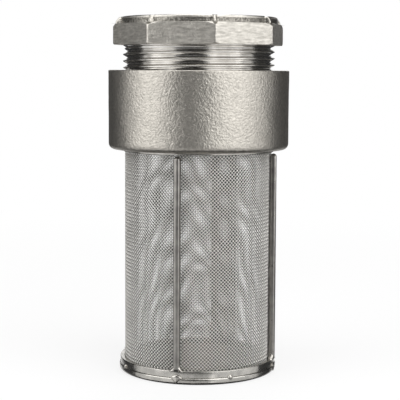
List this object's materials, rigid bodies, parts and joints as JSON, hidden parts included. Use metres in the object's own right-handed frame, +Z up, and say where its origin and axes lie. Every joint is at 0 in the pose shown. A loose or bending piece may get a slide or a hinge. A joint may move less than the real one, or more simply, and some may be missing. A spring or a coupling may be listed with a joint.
{
  "type": "foot valve",
  "caption": "Threaded stainless foot valve: cast ring body, octagon end cap, spring-loaded poppet check valve and a ribbed woven-mesh suction strainer.",
  "frame": {"origin": "on the valve's axis, in the plane of the foot ring's underside, which the valve stands on", "axes": "+Z up along the axis, towards the threaded outlet; -Y is the front, +X is to the right seen from the front"},
  "size_m": [0.064, 0.064, 0.1258],
  "materials": {
    "cast_body": "investment-cast stainless steel, bead blasted, warm grey",
    "machined_cap": "cast stainless steel, flats brushed, thread and rim machined",
    "cast_guide": "investment-cast stainless steel, as cast",
    "turned_steel": "turned stainless steel",
    "spring_steel": "drawn stainless spring wire",
    "sheet_steel": "stainless strip and wire, cold rolled, semi-bright",
    "mesh_wire": "plain-woven stainless wire cloth, 28 mesh on the bias",
    "ptfe": "PTFE, white",
    "nitrile": "nitrile rubber, black"
  },
  "bodies": {
    "housing": {"valve_body": "cast_body", "end_cap": "machined_cap", "cap_gasket": "ptfe", "stem_guide": "cast_guide", "guide_bush": "ptfe", "guide_snap_ring": "spring_steel", "valve_spring": "spring_steel", "strainer_collar": "sheet_steel", "mesh_sleeve": "mesh_wire", "mesh_lap": "mesh_wire", "rib_1": "sheet_steel", "rib_2": "sheet_steel", "rib_3": "sheet_steel", "rib_4": "sheet_steel", "rim_ring": "sheet_steel", "base_ring": "sheet_steel", "bottom_mesh": "mesh_wire", "rib_welds": "sheet_steel", "spot_welds": "sheet_steel"},
    "poppet": {"valve_stem": "turned_steel", "valve_disc": "turned_steel", "seat_seal": "nitrile", "seal_retainer": "turned_steel", "lock_washer": "spring_steel", "stem_nut": "turned_steel"}
  },
  "joints": [
    {"name": "disc_lift", "type": "slide", "parent": "housing", "child": "poppet", "axis": [0, 0, 1], "range_m": [0, 0.007], "stiffness_N_per_m": 300, "springref_m": -0.01, "deforming": ["valve_spring"]}
  ]
}
